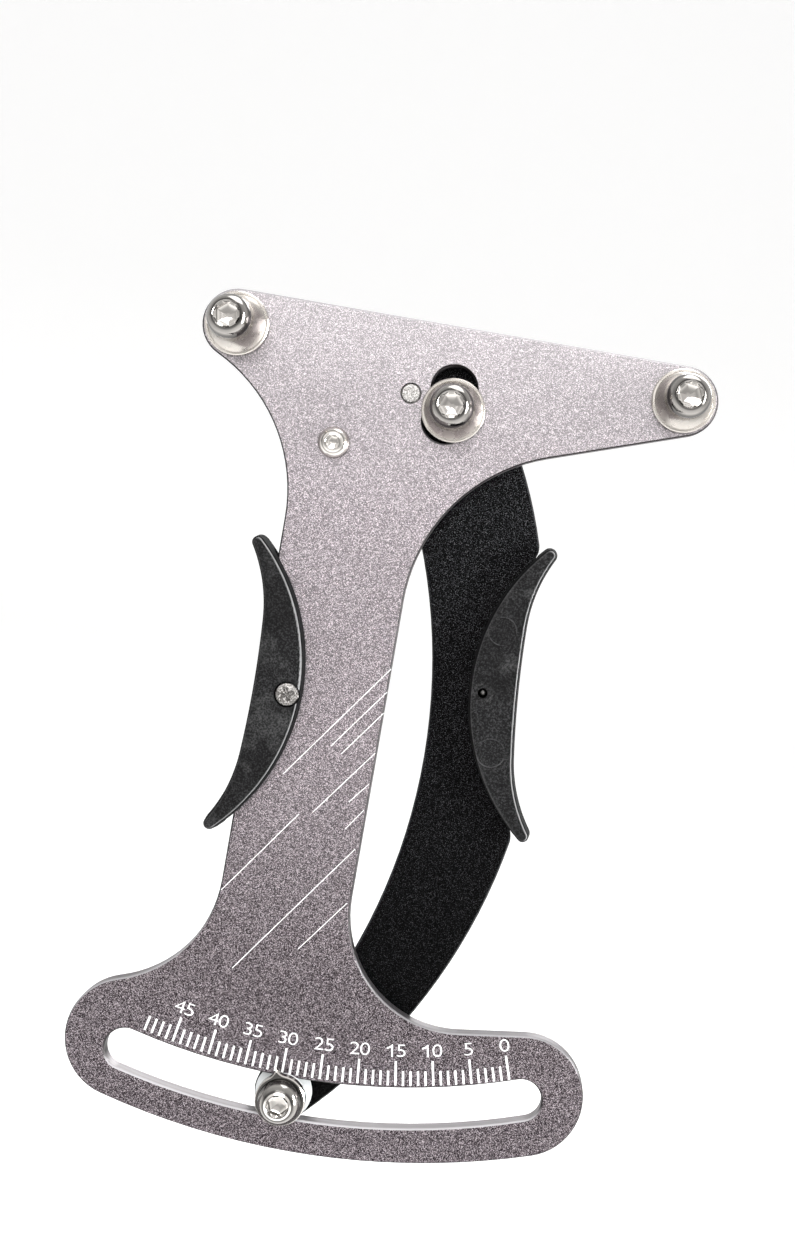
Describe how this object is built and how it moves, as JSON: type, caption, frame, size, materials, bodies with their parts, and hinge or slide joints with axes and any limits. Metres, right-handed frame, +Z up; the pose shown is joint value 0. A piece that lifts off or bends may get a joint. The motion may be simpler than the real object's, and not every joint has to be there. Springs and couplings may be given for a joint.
{
  "type": "spoke tension meter",
  "caption": "Hand-held spoke tension meter: T-shaped plate with flared posts, sprung lever with grips, and a pointer running along a curved scale slot.",
  "frame": {"origin": "on the axis of a 2 mm spoke resting under the two outer posts, midway between them", "axes": "X along the spoke, Y out of the tool's back with the scale facing -Y, Z up across the spoke from lever to outer posts"},
  "size_m": [0.1288, 0.0258, 0.2022],
  "materials": {
    "grey_plate": "satin speckled grey",
    "black_plate": "satin black with fine light speckle",
    "grip_plastic": "satin",
    "polished_steel": "polished",
    "bright_fasteners": "bright",
    "turned_steel": "turned",
    "spring_steel": "drawn wire",
    "white_nylon": "satin"
  },
  "bodies": {
    "frame": {"front_plate": "grey_plate", "pivot_pin": "polished_steel", "pivot_spacer": "white_nylon", "pivot_washer": "bright_fasteners", "pivot_clip": "bright_fasteners", "left_post": "polished_steel", "right_post": "polished_steel", "outer_post_screws": "bright_fasteners", "outer_post_washers": "bright_fasteners", "outer_post_nuts": "bright_fasteners", "spring_anchor_screw": "bright_fasteners", "spring_anchor_standoff": "turned_steel", "left_grip_front": "grip_plastic", "left_grip_rear": "grip_plastic", "left_grip_screw": "bright_fasteners", "return_spring": "spring_steel"},
    "lever": {"lever_plate": "black_plate", "centre_post": "polished_steel", "centre_post_screw": "bright_fasteners", "centre_post_washer": "bright_fasteners", "centre_post_nut": "bright_fasteners", "pointer": "polished_steel", "pointer_screw": "bright_fasteners", "pointer_bush": "white_nylon", "pointer_glide_washer": "white_nylon", "pointer_washer": "bright_fasteners", "pointer_nut": "bright_fasteners", "lever_spring_post": "turned_steel", "right_grip_front": "grip_plastic", "right_grip_rear": "grip_plastic", "right_grip_screw": "bright_fasteners"}
  },
  "joints": [
    {"name": "lever_pivot", "type": "hinge", "parent": "frame", "child": "lever", "pos_m": [-0.0104, 0.0131, -0.0033], "axis": [0, 1, 0], "range_deg": [-19.1, 13.2], "stiffness_Nm_per_rad": 1.3, "deforming": ["return_spring"]}
  ]
}
